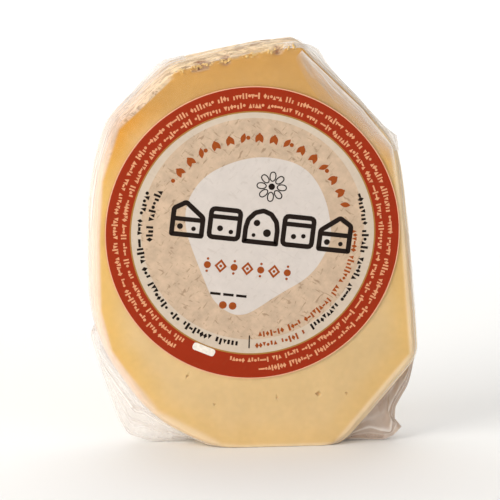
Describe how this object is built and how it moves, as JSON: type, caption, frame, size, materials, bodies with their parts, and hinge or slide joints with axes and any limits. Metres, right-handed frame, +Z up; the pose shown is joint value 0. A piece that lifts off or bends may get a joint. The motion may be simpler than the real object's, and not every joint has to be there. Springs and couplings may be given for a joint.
{
  "type": "provolone cheese slice in a vacuum bag",
  "caption": "Thick provolone slice standing on its rim, sealed in a clear vacuum bag with crumpled corner flaps and a round paper label on the cut face.",
  "frame": {"origin": "centre of the bounding box at its bottom, on the surface that the slice stands on", "axes": "+Z up along the slice's height, -Y out of the labelled cut face, +X to the right as seen from the front"},
  "size_m": [0.1012, 0.0208, 0.1253],
  "materials": {
    "cheese_in_film": "pale yellow cheese with a tan rind, seen through clear glossy film",
    "printed_paper": "satin printed paper with a terracotta border and a beige centre"
  },
  "bodies": {
    "root": {"sealed_slice": "cheese_in_film", "label": "printed_paper"}
  },
  "joints": []
}
